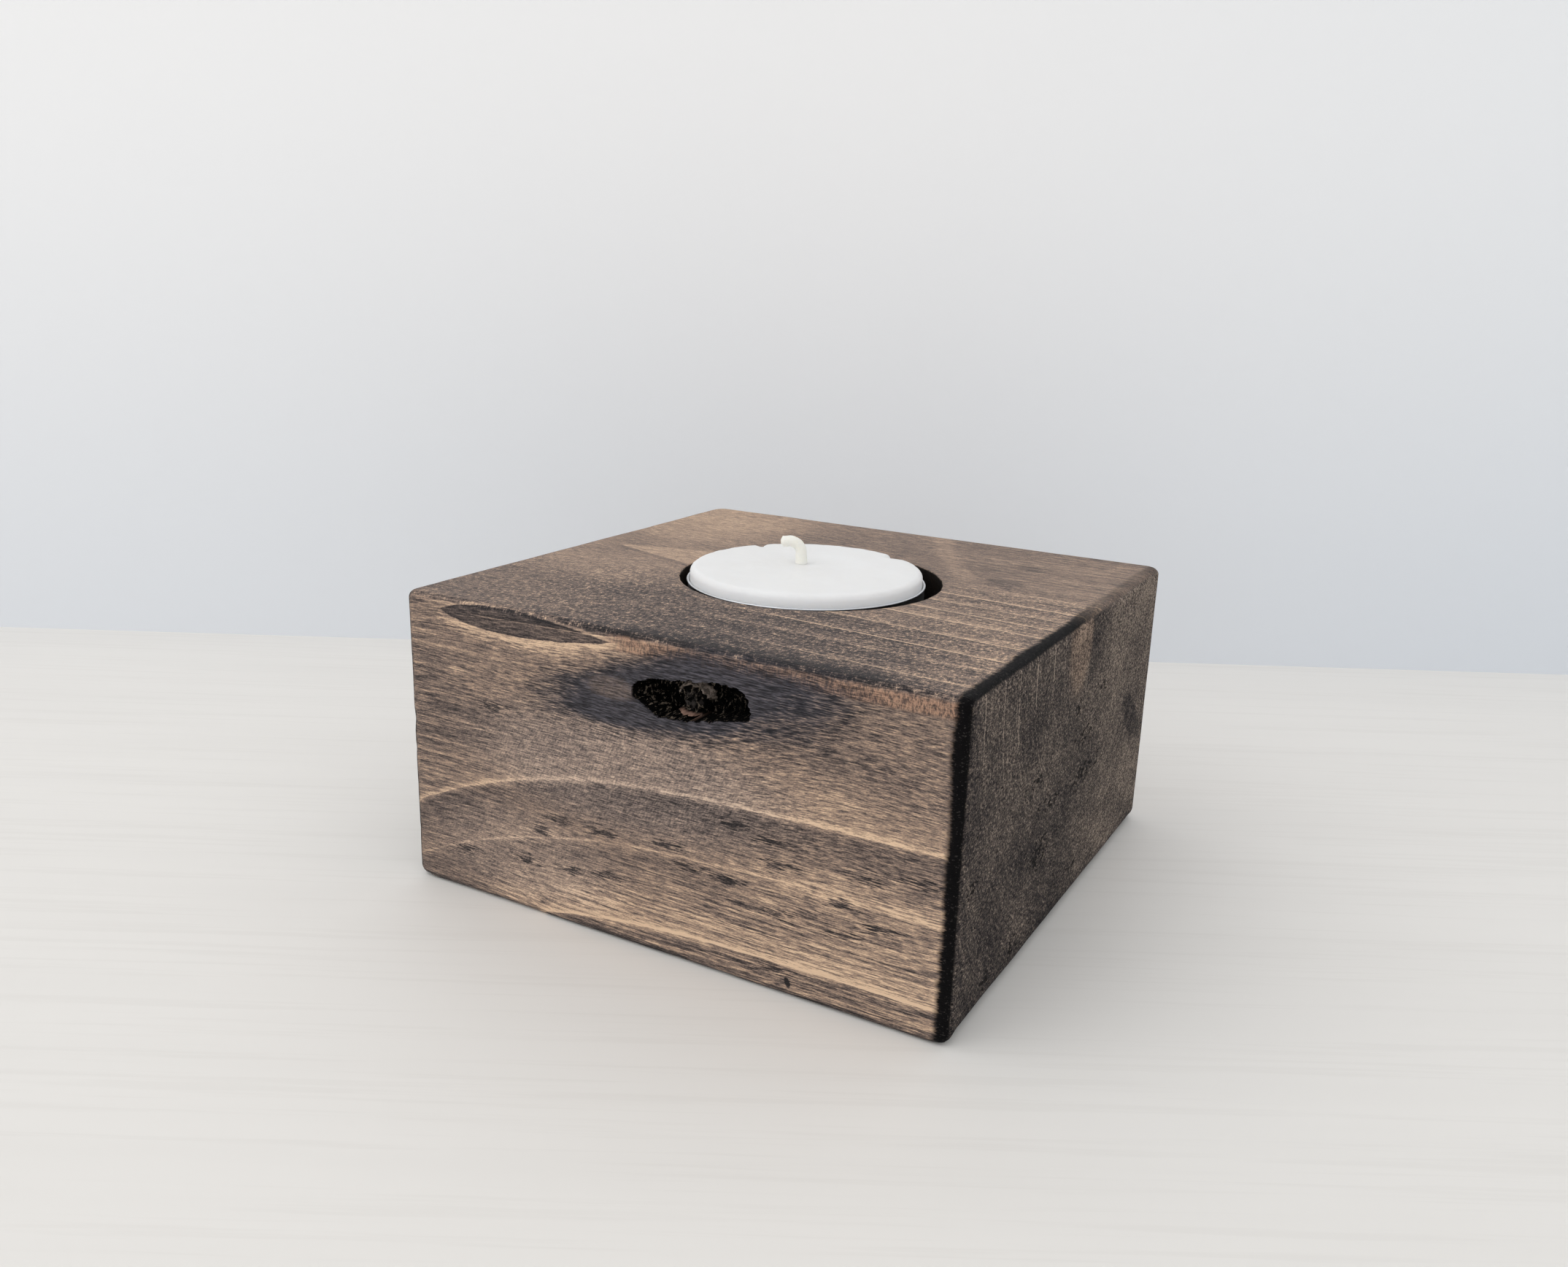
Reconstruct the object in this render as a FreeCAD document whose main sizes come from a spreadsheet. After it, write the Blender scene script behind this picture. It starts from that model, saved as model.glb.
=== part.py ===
import FreeCAD, Part
import os
import Sketcher

# Tealight holder: a square block of stained pine with one round pocket bored in its top.
# A tealight stands loose in the pocket: a drawn aluminium cup, a puck of wax, and a braided
# wick crimped into a small steel sustainer on the cup's floor.
#
# Frame: millimetres, +Z up, origin at the centre of the block's underside. The grain runs
# along X. The front, -Y, has an open knot just below its top edge.

SIZES = {
    # sawn block, with its edges eased by sanding
    "block_width": 89.0,
    "block_depth": 85.6,
    "block_height": 45.7,
    "side_edge_round": 1.5,
    "top_edge_round": 1.2,
    "base_edge_round": 1.4,
    # bored pocket, with the cone that the bit's point leaves in its floor
    "pocket_radius": 20.65,
    "pocket_depth": 15.9,
    "mouth_round": 0.3,
    "bit_point_radius": 1.8,
    "bit_point_depth": 2.2,
    # open knot in the front face: how far its corners lie from the middle and from the base
    "knot_left": 3.7,
    "knot_left_level": 36.9,
    "knot_base_left": 0.4,
    "knot_base_left_level": 34.7,
    "knot_base_right": 14.2,
    "knot_base_right_level": 36.7,
    "knot_right": 15.1,
    "knot_right_level": 38.6,
    "knot_top_right": 12.4,
    "knot_top_right_level": 41.3,
    "knot_top_left": 2.6,
    "knot_top_left_level": 39.6,
    "knot_depth": 5.5,
    "knot_taper": 10.0,
    "knot_corner_round": 0.7,
    # where the tealight stands: it has been pushed up to the pocket's front wall
    "cup_x": -0.15,
    "cup_y": -1.4,
    # drawn cup: a tapered wall, a rolled rim, and a floor pressed up inside a foot ring
    "cup_height": 16.0,
    "cup_wall": 0.25,
    "cup_base_radius": 18.35,
    "cup_mouth_radius": 18.6,
    "cup_rim_radius": 18.95,
    "cup_rim_height": 0.6,
    "cup_rim_roll": 0.24,
    "cup_foot_radius": 16.2,
    "cup_floor_radius": 15.4,
    "cup_floor_lift": 0.35,
    "cup_corner_round": 0.9,
    # wax puck, which stands proud of the rim with a slightly crowned top
    "wax_clearance": 0.15,
    "wax_edge_proud": 1.2,
    "wax_crown_proud": 1.9,
    "wax_shoulder_round": 0.8,
    # wick and sustainer, a little off the cup's axis
    "wick_off_x": -1.35,
    "wick_off_y": 1.5,
    "wick_radius": 0.8,
    "wick_clearance": 0.04,
    "wick_proud": 1.9,
    "wick_bend": 1.7,
    "wick_tip": 1.5,
    "wick_turn": 29.3,
    "plate_radius": 6.3,
    "plate_thickness": 0.25,
    "neck_radius": 1.3,
    "neck_height": 4.0,
    "neck_fillet": 0.4,
    "recess_clearance": 0.05,
}

# Levels and places that several pieces share, as sums of the cells above.
POCKET_FLOOR = "block_height - pocket_depth"
CUP_FLOOR = "cup_floor_lift + cup_wall"
CANDLE_BASE = f"{POCKET_FLOOR} + {CUP_FLOOR}"
WAX_FOOT_RADIUS = "cup_base_radius - cup_wall - wax_clearance"
WAX_BRIM_RADIUS = "cup_mouth_radius - cup_wall - wax_clearance"
RIM_ABOVE_FLOOR = "cup_height - cup_floor_lift - cup_wall"
WICK_BORE = "wick_radius + wick_clearance"

TINY = 1e-6

doc = FreeCAD.newDocument("tealight_holder")
sizes = doc.addObject("Spreadsheet::Sheet", "sizes")
for row, (alias, number) in enumerate(SIZES.items(), start=1):
    sizes.set(f"A{row}", alias)
    sizes.set(f"B{row}", str(number))
    sizes.setAlias(f"B{row}", alias)
doc.recompute()


# ---------------------------------------------------------------- sums of named cells

def value(terms):
    """The number that a sum such as "cup_height - cup_wall" stands for."""
    number = 0.0
    sign = 1.0
    for word in terms.split():
        if word in "+-":
            sign = -1.0 if word == "-" else 1.0
        elif word != "0":
            number += sign * sizes.get(word)
    return number


def bound(terms):
    """The same sum as an expression that reads the sheet."""
    return " ".join(word if word in "+-" else f"sizes.{word}" for word in terms.split())


# ---------------------------------------------------------------- sketches

def new_sketch(body, name, role, height=None):
    """A sketch on one of the body's own origin planes, moved along the plane's normal."""
    plane = [item for item in body.Origin.OriginFeatures if item.Role == role][0]
    sketch = body.newObject("Sketcher::SketchObject", name)
    sketch.AttachmentSupport = (plane, [""])
    sketch.MapMode = "FlatFace"
    if height:
        sketch.setExpression("AttachmentOffset.Base.z", height)
    return sketch


def rule(sketch, terms, kind, *places):
    """Adds a dimension between places in a sketch, and binds it to the sheet."""
    index = sketch.addConstraint(Sketcher.Constraint(kind, *places, value(terms)))
    sketch.setExpression(f"Constraints[{index}]", bound(terms))


def fix(sketch, *constraint):
    sketch.addConstraint(Sketcher.Constraint(*constraint))


def pin_point(sketch, edge, end, across, up):
    """Fixes a point of an edge by its sums across and up. "0" puts it on an axis."""
    for terms, kind, axis in ((across, "DistanceX", -2), (up, "DistanceY", -1)):
        if terms == "0":
            fix(sketch, "PointOnObject", edge, end, axis)
        else:
            rule(sketch, terms, kind, -1, 1, edge, end)


def point(across, up):
    return FreeCAD.Vector(value(across), value(up), 0)


def crown_arc(start, end):
    """The arc from start up to end, with its centre on the vertical axis, below end."""
    rise = end.y - start.y
    radius = (start.x ** 2 + rise ** 2) / (2 * rise)
    return arc_about(FreeCAD.Vector(0, end.y - radius, 0), radius, start, end)


def arc_about(centre, radius, start, end):
    circle = Part.Circle(centre, FreeCAD.Vector(0, 0, 1), radius)
    return Part.ArcOfCircle(circle, circle.parameter(start), circle.parameter(end))


def draw_outline(sketch, corners, crown=None):
    """A closed outline through corners, each a pair of sums. crown is the number of the side
    that bulges as an arc about the vertical axis."""
    points = [point(*corner) for corner in corners]
    for index, start in enumerate(points):
        end = points[(index + 1) % len(points)]
        side = crown_arc(start, end) if index == crown else Part.LineSegment(start, end)
        sketch.addGeometry(side)
    for index, corner in enumerate(corners):
        fix(sketch, "Coincident", (index - 1) % len(corners), 2, index, 1)
        pin_point(sketch, index, 1, *corner)
    if crown is not None:
        fix(sketch, "PointOnObject", crown, 3, -2)


def draw_circle(sketch, radius, across="0", up="0"):
    circle = Part.Circle(point(across, up), FreeCAD.Vector(0, 0, 1), value(radius))
    sketch.addGeometry(circle)
    pin_point(sketch, 0, 3, across, up)
    rule(sketch, radius, "Radius", 0)


def draw_centred_rectangle(sketch, width, depth):
    half_width = value(width) / 2
    half_depth = value(depth) / 2
    corners = [
        FreeCAD.Vector(-half_width, -half_depth, 0),
        FreeCAD.Vector(half_width, -half_depth, 0),
        FreeCAD.Vector(half_width, half_depth, 0),
        FreeCAD.Vector(-half_width, half_depth, 0),
    ]
    for index, start in enumerate(corners):
        sketch.addGeometry(Part.LineSegment(start, corners[(index + 1) % 4]))
    for index in range(4):
        fix(sketch, "Coincident", index, 2, (index + 1) % 4, 1)
        fix(sketch, "Horizontal" if index % 2 == 0 else "Vertical", index)
    fix(sketch, "Symmetric", 0, 1, 2, 1, -1, 1)
    rule(sketch, width, "DistanceX", 0, 1, 0, 2)
    rule(sketch, depth, "DistanceY", 1, 1, 1, 2)


# ---------------------------------------------------------------- features

def new_body(label):
    body = doc.addObject("PartDesign::Body", label)
    body.Label = label
    return body


def turn(body, kind, name, sketch):
    """A Revolution or a Groove about the body's own Z axis."""
    feature = body.newObject(f"PartDesign::{kind}", name)
    feature.Profile = sketch
    feature.ReferenceAxis = (sketch, ["V_Axis"])
    feature.Angle = 360
    doc.recompute()
    return feature


def cut(body, name, sketch, depth, taper=None):
    """A pocket that has to remove material: it is turned round where it first misses."""
    before = body.Tip.Shape.Volume
    pocket = body.newObject("PartDesign::Pocket", name)
    pocket.Profile = sketch
    pocket.Type = "Length"
    pocket.setExpression("Length", bound(depth))
    if taper:
        pocket.setExpression("TaperAngle", bound(taper))
    doc.recompute()
    if pocket.Shape.Volume > before - TINY:
        pocket.Reversed = True
        doc.recompute()
    if pocket.Shape.Volume > before - TINY:
        raise RuntimeError(f"{name} removes nothing")


def fillet(body, name, chosen, radius):
    """Rounds those edges of the body's last feature that the test chosen picks."""
    base = body.Tip
    edges = [f"Edge{index}" for index, edge in enumerate(base.Shape.Edges, start=1) if chosen(edge)]
    if not edges:
        raise RuntimeError(f"{name} finds no edge")
    rounded = body.newObject("PartDesign::Fillet", name)
    rounded.Base = (base, edges)
    rounded.setExpression("Radius", bound(radius))
    doc.recompute()


def ring(radius, level):
    """A test for the level circle of this radius at this height in a turned piece."""
    def chosen(edge):
        box = edge.BoundBox
        at_level = box.ZLength < TINY and abs(box.ZMin - value(level)) < TINY
        return at_level and abs(box.XLength / 2 - value(radius)) < 1e-3
    return chosen


def place(body, across, back, up):
    for axis, terms in (("x", across), ("y", back), ("z", up)):
        body.setExpression(f"Placement.Base.{axis}", bound(terms))


# ---------------------------------------------------------------- wood block

def make_block():
    body = new_body("wood_block")
    outline = new_sketch(body, "block_outline", "XY_Plane")
    draw_centred_rectangle(outline, "block_width", "block_depth")
    sawn = body.newObject("PartDesign::Pad", "sawn_block")
    sawn.Profile = outline
    sawn.setExpression("Length", bound("block_height"))
    doc.recompute()

    top = value("block_height")
    fillet(body, "eased_sides", lambda edge: edge.BoundBox.ZLength > top - TINY, "side_edge_round")
    fillet(body, "eased_top", lambda edge: edge.BoundBox.ZMin > top - TINY, "top_edge_round")
    fillet(body, "eased_base", lambda edge: edge.BoundBox.ZMax < TINY, "base_edge_round")

    circle = new_sketch(body, "pocket_circle", "XY_Plane", bound("block_height"))
    draw_circle(circle, "pocket_radius")
    cut(body, "bored_pocket", circle, "pocket_depth")
    fillet(body, "eased_mouth", ring("pocket_radius", "block_height"), "mouth_round")

    cone = new_sketch(body, "bit_point_section", "XZ_Plane")
    draw_outline(cone, [
        ("0", f"{POCKET_FLOOR} - bit_point_depth"),
        ("bit_point_radius", POCKET_FLOOR),
        ("0", POCKET_FLOOR),
    ])
    turn(body, "Groove", "bit_point", cone)

    # The XZ plane's normal points to the front, so the sketch moves out to the front face.
    knot = new_sketch(body, "knot_outline", "XZ_Plane", "sizes.block_depth / 2")
    draw_outline(knot, [
        ("- knot_left", "knot_left_level"),
        ("knot_base_left", "knot_base_left_level"),
        ("knot_base_right", "knot_base_right_level"),
        ("knot_right", "knot_right_level"),
        ("knot_top_right", "knot_top_right_level"),
        ("- knot_top_left", "knot_top_left_level"),
    ])
    cut(body, "open_knot", knot, "knot_depth", "- knot_taper")

    front = -value("block_depth") / 2
    depth = value("knot_depth")

    def is_knot_corner(edge):
        box = edge.BoundBox
        return box.YMin < front + TINY and abs(box.YLength - depth) < TINY

    fillet(body, "worn_knot_corners", is_knot_corner, "knot_corner_round")
    return body


# ---------------------------------------------------------------- tealight cup

def make_cup():
    body = new_body("tealight_cup")
    section = new_sketch(body, "cup_section", "XZ_Plane")
    rim_foot = "cup_height - cup_rim_height"
    inner_corner = "cup_base_radius - cup_wall"
    draw_outline(section, [
        ("0", "cup_floor_lift"),
        ("cup_floor_radius", "cup_floor_lift"),
        ("cup_foot_radius", "0"),
        ("cup_base_radius", "0"),
        ("cup_mouth_radius", rim_foot),
        ("cup_rim_radius", rim_foot),
        ("cup_rim_radius", "cup_height"),
        ("cup_mouth_radius - cup_wall", "cup_height"),
        (inner_corner, "cup_wall"),
        ("cup_foot_radius + cup_wall", "cup_wall"),
        ("cup_floor_radius + cup_wall", CUP_FLOOR),
        ("0", CUP_FLOOR),
    ])
    turn(body, "Revolution", "drawn_cup", section)
    fillet(body, "outer_corner", ring("cup_base_radius", "0"), "cup_corner_round")
    fillet(body, "inner_corner", ring(inner_corner, "cup_wall"), "cup_corner_round - cup_wall")
    rim_top = ring("cup_rim_radius", "cup_height")
    rim_under = ring("cup_rim_radius", rim_foot)
    fillet(body, "rolled_rim", lambda edge: rim_top(edge) or rim_under(edge), "cup_rim_roll")
    place(body, "cup_x", "cup_y", POCKET_FLOOR)
    return body


# ---------------------------------------------------------------- wax puck

def make_wax():
    """The body's origin is on the cup's axis at the cup's floor, under the puck."""
    body = new_body("wax")
    section = new_sketch(body, "wax_section", "XZ_Plane")
    edge_level = f"{RIM_ABOVE_FLOOR} + wax_edge_proud"
    draw_outline(section, [
        ("0", "0"),
        (WAX_FOOT_RADIUS, "0"),
        (WAX_BRIM_RADIUS, RIM_ABOVE_FLOOR),
        (WAX_BRIM_RADIUS, edge_level),
        ("0", f"{RIM_ABOVE_FLOOR} + wax_crown_proud"),
    ], crown=3)
    turn(body, "Revolution", "puck", section)
    fillet(body, "shoulder", ring(WAX_BRIM_RADIUS, edge_level), "wax_shoulder_round")

    holes = [
        ("plate_recess", "plate_radius + recess_clearance", "plate_thickness + recess_clearance"),
        ("neck_recess", "neck_radius + neck_fillet", "neck_height + recess_clearance"),
        ("wick_channel", WICK_BORE, "cup_height + wax_crown_proud"),
    ]
    for name, radius, depth in holes:
        circle = new_sketch(body, f"{name}_circle", "XY_Plane")
        draw_circle(circle, radius, "wick_off_x", "wick_off_y")
        cut(body, name, circle, depth)
    place(body, "cup_x", "cup_y", CANDLE_BASE)
    return body


# ---------------------------------------------------------------- wick and its sustainer

WICK_X = "cup_x + wick_off_x"
WICK_Y = "cup_y + wick_off_y"


def make_sustainer():
    body = new_body("wick_sustainer")
    section = new_sketch(body, "sustainer_section", "XZ_Plane")
    draw_outline(section, [
        (WICK_BORE, "0"),
        ("plate_radius", "0"),
        ("plate_radius", "plate_thickness"),
        ("neck_radius", "plate_thickness"),
        ("neck_radius", "neck_height"),
        (WICK_BORE, "neck_height"),
    ])
    turn(body, "Revolution", "pressed_tab", section)
    fillet(body, "drawn_root", ring("neck_radius", "plate_thickness"), "neck_fillet")
    place(body, WICK_X, WICK_Y, CANDLE_BASE)
    return body


def make_wick():
    """Upright in the wax, then bent over in one arc to a short level tip. The body is turned
    about Z, so that the tip, along the body's own -X, points to the left and forward."""
    body = new_body("wick")
    bend_level = f"{RIM_ABOVE_FLOOR} + wax_crown_proud + wick_proud"
    top_level = f"{bend_level} + wick_bend"

    path = new_sketch(body, "wick_path", "XZ_Plane")
    foot = point("0", "plate_thickness")
    bend_start = point("0", bend_level)
    bend_end = point("- wick_bend", top_level)
    path.addGeometry(Part.LineSegment(foot, bend_start))
    path.addGeometry(arc_about(point("- wick_bend", bend_level), value("wick_bend"), bend_start, bend_end))
    path.addGeometry(Part.LineSegment(bend_end, point("- wick_bend - wick_tip", top_level)))
    pin_point(path, 0, 1, "0", "plate_thickness")
    pin_point(path, 0, 2, "0", bend_level)
    fix(path, "Tangent", 0, 2, 1, 1)
    fix(path, "Tangent", 1, 2, 2, 1)
    fix(path, "Horizontal", 2)
    rule(path, "wick_bend", "Radius", 1)
    rule(path, "wick_tip", "DistanceX", 2, 2, 2, 1)

    section = new_sketch(body, "wick_section", "XY_Plane", bound("plate_thickness"))
    draw_circle(section, "wick_radius")
    doc.recompute()
    braid = body.newObject("PartDesign::AdditivePipe", "braid")
    braid.Profile = section
    braid.Spine = (path, ["Edge1", "Edge2", "Edge3"])
    doc.recompute()
    body.Placement.Rotation.Axis = FreeCAD.Vector(0, 0, 1)
    body.setExpression("Placement.Rotation.Angle", bound("wick_turn"))
    place(body, WICK_X, WICK_Y, CANDLE_BASE)
    return body


# ---------------------------------------------------------------- check and export

bodies = [make_block(), make_cup(), make_wax(), make_sustainer(), make_wick()]
doc.recompute()

for item in doc.Objects:
    if "Invalid" in item.State or "Error" in item.State:
        raise RuntimeError(f"{item.Label} failed: {item.State}")
for body in bodies:
    if body.Shape.isNull() or not body.Shape.isValid() or len(body.Shape.Solids) != 1:
        raise RuntimeError(f"{body.Label} is not one valid solid")

os.makedirs("parts", exist_ok=True)
for body in bodies:
    body.Shape.exportStep(f"parts/{body.Label}.step")
    print(body.Label, "volume", round(body.Shape.Volume, 2))
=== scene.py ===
import math

import bmesh
import bpy
import numpy as np
from mathutils import Matrix, Vector, noise


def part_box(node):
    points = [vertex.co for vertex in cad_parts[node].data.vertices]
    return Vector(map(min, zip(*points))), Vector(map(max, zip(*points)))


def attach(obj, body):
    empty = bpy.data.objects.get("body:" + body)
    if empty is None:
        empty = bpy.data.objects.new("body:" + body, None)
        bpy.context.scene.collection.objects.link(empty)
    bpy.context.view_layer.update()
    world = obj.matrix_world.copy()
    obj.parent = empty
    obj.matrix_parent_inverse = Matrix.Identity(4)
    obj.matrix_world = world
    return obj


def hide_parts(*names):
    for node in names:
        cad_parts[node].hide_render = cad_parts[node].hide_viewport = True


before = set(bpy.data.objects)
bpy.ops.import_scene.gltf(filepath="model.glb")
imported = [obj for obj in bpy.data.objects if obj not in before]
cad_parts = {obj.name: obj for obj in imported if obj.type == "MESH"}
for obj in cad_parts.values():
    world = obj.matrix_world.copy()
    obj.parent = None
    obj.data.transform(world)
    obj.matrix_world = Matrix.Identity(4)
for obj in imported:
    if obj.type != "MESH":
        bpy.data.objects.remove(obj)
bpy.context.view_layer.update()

# The looks of a tealight holder: a stained pine block with an open knot in its front, and a
# tealight in the pocket bored in its top. Lengths are in millimetres until a mesh is made.
# The grain runs along X. The end grain faces +X and -X, and the knot faces -Y.

MM = 0.001

# ------------ places from the frame


def node_box(name):
    low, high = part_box(name)
    return np.array(low) / MM, np.array(high) / MM


BLOCK_LOW, BLOCK_HIGH = node_box("wood_block")
CUP_LOW, CUP_HIGH = node_box("tealight_cup")
WAX_LOW, WAX_HIGH = node_box("wax")
WICK_LOW, WICK_HIGH = node_box("wick")
PLATE_LOW, PLATE_HIGH = node_box("wick_sustainer")

BLOCK_TOP = BLOCK_HIGH[2]
FRONT = BLOCK_LOW[1]
RIGHT = BLOCK_HIGH[0]
POCKET_FLOOR = CUP_LOW[2]
CUP_CENTRE = (CUP_LOW + CUP_HIGH) / 2
RIM_LEVEL = CUP_HIGH[2]
WICK_CENTRE = (PLATE_LOW + PLATE_HIGH) / 2

# ------------ sizes the frame doesn't give

POCKET_RADIUS = 20.65
BIT_POINT_RADIUS = 1.8
BIT_POINT_DEPTH = 2.2
WICK_RADIUS = 0.88
WICK_BEND = 1.75
WICK_LEAN = 0.55
WICK_TURN = math.radians(29.3)


def wobble(point, size, seed=0.0):
    """Smooth noise from -1 to 1 with features of about this size."""
    return noise.noise(Vector(point) / size + Vector((seed, seed * 1.7, -seed)))


def new_object(name, data):
    item = bpy.data.objects.new(name, data)
    bpy.context.scene.collection.objects.link(item)
    return item


def new_mesh_object(name, vertices, faces):
    mesh = bpy.data.meshes.new(name)
    mesh.from_pydata([tuple(np.array(vertex) * MM) for vertex in vertices], [], faces)
    mesh.validate()
    return new_object(name, mesh)


def new_solid(name, vertices, faces):
    """A closed mesh whose faces all look outward."""
    item = new_mesh_object(name, vertices, faces)
    shape = bmesh.new()
    shape.from_mesh(item.data)
    bmesh.ops.recalc_face_normals(shape, faces=shape.faces)
    shape.to_mesh(item.data)
    shape.free()
    return item


def shade(item, sharp_degrees):
    """Smooth shading that breaks at edges sharper than the angle."""
    item.data.polygons.foreach_set("use_smooth", [True] * len(item.data.polygons))
    item.data.set_sharp_from_angle(angle=math.radians(sharp_degrees))


def ring_faces(rows, columns):
    """Quads between closed rings of points, each row after the one before."""
    faces = []
    for row in range(rows - 1):
        for column in range(columns):
            after = (column + 1) % columns
            a = row * columns
            faces.append((a + column, a + after, a + columns + after, a + columns + column))
    return faces


def capped_faces(rows, columns):
    """The quads between the rings, and a flat cap on the first and the last."""
    last = (rows - 1) * columns
    return ring_faces(rows, columns) + [tuple(range(columns)), tuple(range(last, last + columns))]


def pointed_faces(rows, columns):
    """The quads between the rings, a flat cap on the first, and a fan from the last to a point."""
    last = (rows - 1) * columns
    tip = rows * columns
    faces = ring_faces(rows, columns) + [tuple(range(columns))]
    return faces + [(last + side, last + (side + 1) % columns, tip) for side in range(columns)]


def circle(sides):
    """Evenly spaced points of a circle: the angle, cosine and sine of each."""
    return [(angle, math.cos(angle), math.sin(angle))
            for angle in np.linspace(0, 2 * math.pi, sides, endpoint=False)]


def share_of(number, start, end):
    """0 at start or before, 1 at end or after, and even between."""
    return min(1.0, max(0.0, (number - start) / (end - start)))


# ------------ wood block mesh

EDGE_ZONE = 3.4
EDGE_STEP = 0.34
FACE_STEP = 0.85
SIDE_ROUND = 1.25
FAR_SIDE_ROUND = 2.3
TOP_ROUND = 1.15
FRONT_BASE_ROUND = 1.1
RIGHT_BASE_ROUND = 2.6
LEAST_ROUND = 0.5
LEVEL_EDGE_WOBBLE = 0.22
UPRIGHT_EDGE_WOBBLE = 0.25
EDGE_WEAR = 0.25
WORN_WITHIN = 1.2


def grid_lines(low, high):
    """Places of grid lines from low to high, close together near both ends."""
    zone = np.arange(0, EDGE_ZONE, EDGE_STEP)
    count = int((high - low - 2 * EDGE_ZONE) / FACE_STEP)
    middle = np.linspace(low + EDGE_ZONE, high - EDGE_ZONE, count)
    return np.concatenate([low + zone, middle, (high - zone)[::-1]])


def eased(point, centre, half):
    """Moves a point of the sharp block to the sanded block: its level edges are rounded first,
    most of all the base of the two ends, and then its four upright edges."""
    local = point - centre
    side = np.where(local < 0, -1.0, 1.0)
    depth = half - np.abs(local)
    at_end = share_of(depth[1] - depth[0], -3.0, 3.0)
    base_round = FRONT_BASE_ROUND + (RIGHT_BASE_ROUND - FRONT_BASE_ROUND) * at_end
    round_level = TOP_ROUND if local[2] > 0 else base_round
    round_level += LEVEL_EDGE_WOBBLE * wobble(point, 11.0, 3.1)
    inset = min(depth[0], depth[1])
    if inset < round_level and depth[2] < round_level:
        arm = np.array([round_level - inset, round_level - depth[2]])
        arm *= round_level / np.linalg.norm(arm)
        new_inset = round_level - arm[0]
        for axis in (0, 1):
            share = max(0.0, 1 - (depth[axis] - inset) / round_level)
            depth[axis] += (new_inset - inset) * share
        depth[2] = round_level - arm[1]
        inset = new_inset
    wide = FAR_SIDE_ROUND if side[1] > 0 else SIDE_ROUND
    wide += UPRIGHT_EDGE_WOBBLE * wobble(point, 9.0, 5.2) - inset * 0.6
    wide = max(LEAST_ROUND, wide)
    arm = wide - (depth[:2] - inset)
    if arm.min() > 0:
        arm *= arm.max() / np.linalg.norm(arm)
        depth[:2] = inset + wide - arm
    if np.count_nonzero(depth < WORN_WITHIN) > 1:
        depth[:2] += EDGE_WEAR * max(0.0, wobble(point, 2.6, 8.4) - 0.25)
    return centre + side * (half - depth)


def make_block_blank():
    low, high = BLOCK_LOW, BLOCK_HIGH
    centre = (low + high) / 2
    half = (high - low) / 2
    lines = [grid_lines(low[axis], high[axis]) for axis in range(3)]
    shape = bmesh.new()
    for axis in range(3):
        first, second = [other for other in range(3) if other != axis]
        for level in (low[axis], high[axis]):
            grid = []
            for across in lines[first]:
                row = []
                for along in lines[second]:
                    point = np.zeros(3)
                    point[axis] = level
                    point[first] = across
                    point[second] = along
                    row.append(shape.verts.new(eased(point, centre, half) * MM))
                grid.append(row)
            for i in range(len(grid) - 1):
                for j in range(len(grid[0]) - 1):
                    shape.faces.new((grid[i][j], grid[i + 1][j], grid[i + 1][j + 1], grid[i][j + 1]))
    bmesh.ops.remove_doubles(shape, verts=shape.verts, dist=0.01 * MM)
    bmesh.ops.recalc_face_normals(shape, faces=shape.faces)
    under = [face for face in shape.faces
             if max(vertex.co.z for vertex in face.verts) < low[2] * MM + 1e-7]
    bmesh.ops.dissolve_faces(shape, faces=under)
    mesh = bpy.data.meshes.new("stained_block")
    shape.to_mesh(mesh)
    shape.free()
    return new_object("stained_block", mesh)


# ------------ bored pocket

POCKET_SIDES = 200
MOUTH_EASE = 0.32
MOUTH_TEAR = 0.10
WALL_ROUGHNESS = 0.025


def make_pocket_cutter():
    """The space the bit has cleared: eased and slightly torn at the mouth, a flat floor with a
    faint scored ring, and the cone of the bit's point."""
    top = BLOCK_TOP
    floor = POCKET_FLOOR
    radius = POCKET_RADIUS
    profile = [
        (radius + MOUTH_EASE + 0.8, top + 0.8),
        (radius + MOUTH_EASE, top),
        (radius + MOUTH_EASE * 0.4, top - MOUTH_EASE * 0.3),
        (radius + MOUTH_EASE * 0.1, top - MOUTH_EASE * 0.8),
        (radius, top - MOUTH_EASE * 1.6),
    ]
    profile += [(radius, level) for level in np.linspace(top - 1.5, floor + 0.4, 12)]
    profile += [
        (radius, floor - 0.25),
        (radius - 0.5, floor - 0.25),
        (radius - 0.7, floor),
        (radius * 0.6, floor),
        (BIT_POINT_RADIUS, floor),
        (BIT_POINT_RADIUS * 0.5, floor - BIT_POINT_DEPTH * 0.5),
    ]
    vertices = []
    for distance, level in profile:
        torn = MOUTH_TEAR if level > top - 1.0 else WALL_ROUGHNESS
        for _, right, back in circle(POCKET_SIDES):
            wide = distance
            if distance > radius * 0.9:
                wide += torn * wobble((30 * right, 30 * back, level), 2.2, 5.0)
            vertices.append((wide * right, wide * back, level))
    vertices.append((0, 0, floor - BIT_POINT_DEPTH))
    return new_solid("pocket_cutter", vertices, pointed_faces(len(profile), POCKET_SIDES))


# ------------ open knot

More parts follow.
